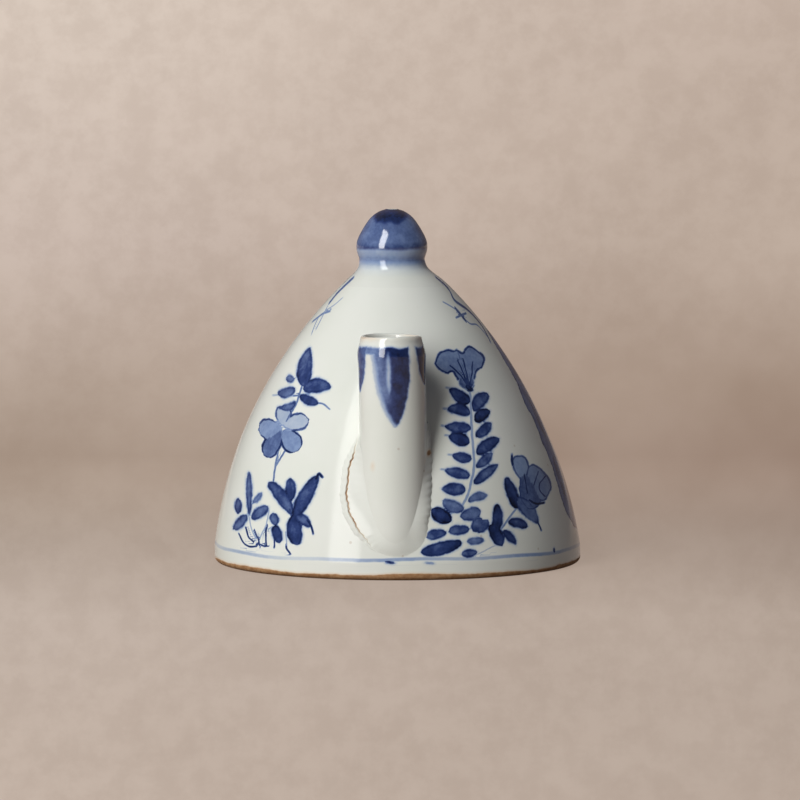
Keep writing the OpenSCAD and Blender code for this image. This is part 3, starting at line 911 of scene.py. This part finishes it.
# Past the seam: how far out, how high with the ridge, and how high without it.
RIDGE = [
    (.05, .34, .05), (.09, .28, .03), (.14, .06, 0), (.21, .04, -.02), (.28, .1, -.04), (.35, .28, -.06),
    (.48, .38, -.08), (.66, .38, -.1), (.86, .29, -.12), (1.06, .17, -.14), (1.26, .07, -.16),
    (1.48, -.05, -.18)]
seam_rise = 0.05 + 0.29 * left_side
seam_h = wall_front(seam[:, 0], seam[:, 1]) + seam_rise
edge_h = tube_front(tube_edge[:, 0], tube_edge[:, 1]) - 0.02
right_side = np.clip((along - 0.56) / 0.14, 0, 1)
middle = tube_edge + (0.42 + 0.34 * right_side)[:, None] * (seam - tube_edge)
# The slip leaves the tube along the tube's own slope, and comes down to the wall in a hollow curve.
edge_x = tube_edge[:, 0] - tube_drift(tube_edge[:, 1])
tube_slope = edge_x / np.sqrt(tube_radius(tube_edge[:, 1]) ** 2 - edge_x ** 2)
over_wall = (0.30 + 0.75 * right_side) * ends + 0.30 * left_side
middle_h = np.maximum(wall_front(middle[:, 0], middle[:, 1]) + over_wall,
                      edge_h - tube_slope * (middle[:, 0] - tube_edge[:, 0]))
rows, crack = [], []


def add_row(spot, forward, gap):
    """Adds a row of the slip: its places in the front elevation, how far forward it lies, and how deep
    the crack is in it."""
    rows.append(np.stack([spot[:, 0], -forward, spot[:, 1]], -1))
    crack.append(gap)


no_crack = np.full(SLIP_ROWS, -DEEPEST)
for t in np.linspace(0, 1, 14):
    add_row((1 - t) ** 2 * tube_edge + 2 * t * (1 - t) * middle + t * t * seam,
            (1 - t) ** 2 * edge_h + 2 * t * (1 - t) * middle_h + t * t * seam_h, no_crack)
for step, ridge, plain in RIDGE:
    spot = seam + outward * step * (0.35 + 0.65 * left_side)[:, None]
    add_row(spot, wall_front(spot[:, 0], spot[:, 1]) + plain + (ridge - plain) * left_side,
            (0.09 - abs(step - 0.19)) * 2 * left_side - DEEPEST * (1 - left_side))
top = np.array(rows)
under = top[::-1][::4].copy()
under[:, :, 1] = -wall_front(under[:, :, 0], under[:, :, 2]) + 0.7
loop = np.concatenate([top, under]).transpose(1, 0, 2)
loop_size = loop.shape[1]
slip = make_piece("spout_slip", loop.reshape(-1, 3), capped(SLIP_ROWS, loop_size), 60)
slip_paint = Painting(SLIP_ROWS * loop_size)
crack_depth = np.array(crack + [no_crack] * len(under)).T.ravel()
# A spot on the right, where the glaze crawled off the slip.
spot_depth = 0.35 - np.hypot(loop[:, :, 0] - 6.3, (loop[:, :, 2] - 23.4) * 0.8).ravel()
slip_paint.keep(slip, np.maximum(crack_depth, np.clip(spot_depth, -DEEPEST, 0.3)))
slip.data.materials.append(glazed("slip_glaze"))
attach(slip, "root")
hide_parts("spout_lute")


# The knob is a small pointed bud, thrown with a spigot that stands in the bell's top. A narrow hole
# runs right down it: a finger on the hole holds the water back. It leans a little to the left.
AIR_R, NECK_R, SPIGOT_R = 1.0, 5.4, 3.9
WAIST_Z, WAIST_R, WIPE_R = 58.3, 6.3, 2.8
KNOB_COLUMNS = 220


def lean_left(z):
    """The knob's shift to the left, which grows smoothly from the bell's top to the bud."""
    return -0.60 * eased(np.clip((z - BELL_H) / 5.5, 0, 1))


BUD = [
    (6.36, 58.3), (6.52, 58.8), (6.74, 59.5), (6.82, 60.3), (6.72, 61.2), (6.36, 62.2), (5.78, 63.3),
    (5.05, 64.5), (4.25, 65.6), (3.35, 66.45), (2.3, 67.08), (1.3, 67.42)]
HOLE_Z = 67.32
hole_round = np.radians(np.linspace(75, 180, 8))
knob_profile = np.concatenate([
    [(AIR_R, 50.0), (SPIGOT_R, 50.0), (SPIGOT_R, BELL_H), (NECK_R, BELL_H), (NECK_R, WAIST_Z)],
    smooth_path(BUD, 90),
    pairs(AIR_R + 0.15 + 0.15 * np.cos(hole_round), HOLE_Z + 0.15 * np.sin(hole_round)),
    [(AIR_R, 64.0), (AIR_R, 58.0)]])
knob_angles = np.radians(line(0, 360, KNOB_COLUMNS))
BUD_CREASE = 50
knob = make_piece("bud_knob", turned(knob_profile, knob_angles, lean_left),
                  quads(len(knob_profile), KNOB_COLUMNS), BUD_CREASE)
points = places(knob)
knob_z = points[:, 2]
knob_x = points[:, 0] - lean_left(knob_z)
knob_turn, knob_r = np.arctan2(knob_x, -points[:, 1]), np.hypot(knob_x, points[:, 1])
knob_paint = Painting(len(points))
knob_paint.sheet(knob_turn, knob_z, (knob_z > 57) & (knob_r > AIR_R + 0.15))


def bud_blue(z):
    """The strength of the blue by height: it fades in on the neck, pales to a band and darkens to a line
    under the bud, and is even above."""
    levels = [54.8, 56.0, 56.8, 57.4, 57.9, 58.4, 59.0, 59.7, 60.0, 60.25, 60.6, 61.5, 64.0]
    blues = [0.0, .07, .19, .38, .50, .46, .35, .34, .52, .70, .64, .56, .57]
    return np.interp(z, levels, blues)


# The dark cap's edge is scalloped. It hangs lowest at the front and ends at the top, short of the back.
turned_by = knob_paint.x + 0.15
cap_edge = 65.0 + 2.4 * (1 - np.cos(turned_by)) + 0.16 * np.cos(turned_by * 7) + 0.08 * np.sin(turned_by * 12)
cap = np.clip((knob_paint.z - cap_edge + 0.55) / 1.1, 0, 1)
knob_blue = bud_blue(knob_paint.z + 0.08 * np.sin(turned_by * 4.8)) + 0.34 * eased(cap)
knob_paint.lay(WASH, np.full(len(knob_paint.where), DEEPEST), knob_blue)
knob_paint.keep(knob, np.full(len(points), -DEEPEST))
knob.data.materials.append(glazed("knob_glaze", 0.36, 0.75, 0.06))
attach(knob, "root")
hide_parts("knob")


# The knob's neck is luted to the bell by a ring of slip, wiped to a smooth hollow that runs from
# the shoulder into the waist, so that bell and knob read as one glazed surface.
wipe_z = SHOULDER_R + BELL_H - WAIST_R - WIPE_R + WIPE_R * math.sqrt(2)
hollow = np.radians(line(225, 180, 16))
cone_r = line(SHOULDER_R, WAIST_R + WIPE_R * (1 - math.sin(math.radians(45))), 18)
ring_profile = np.concatenate([
    [(NECK_R, BELL_H), (7.4, BELL_H)],
    pairs(cone_r, SHOULDER_R + BELL_H - cone_r),
    pairs(WAIST_R + WIPE_R + WIPE_R * np.cos(hollow), wipe_z + WIPE_R * np.sin(hollow)),
    [(WAIST_R, wipe_z), (WAIST_R + 0.05, WAIST_Z), (NECK_R, WAIST_Z)]])
# The finger pressed a little deeper below the hollow.
pressed = 0.35 * np.exp(-((ring_profile[:, 1] - 55.6) / 1.2) ** 2)
ring_profile[:, 0] -= pressed * (ring_profile[:, 0] > NECK_R + 0.1)
ring = make_piece("neck_slip", turned(ring_profile, knob_angles, lean_left),
                  quads(len(ring_profile), KNOB_COLUMNS), BUD_CREASE)
points = places(ring)
ring_paint = Painting(len(points))
ring_paint.sheet(points[:, 0], points[:, 2], points[:, 2] > 54)
ring_paint.lay(WASH, np.full(len(ring_paint.where), DEEPEST), bud_blue(ring_paint.z))
ring_turn = np.arctan2(points[:, 0], -points[:, 1])
ring_paint.sheet(ring_turn * flank(points[:, 2]), points[:, 2], points[:, 2] < 56.5)
shoulder_strokes(ring_paint)
ring_paint.keep(ring, np.full(len(points), -DEEPEST))
ring.data.materials.append(glazed("neck_glaze", 0.24, 0.45, 0.06))
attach(ring, "root")
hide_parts("knob_lute")
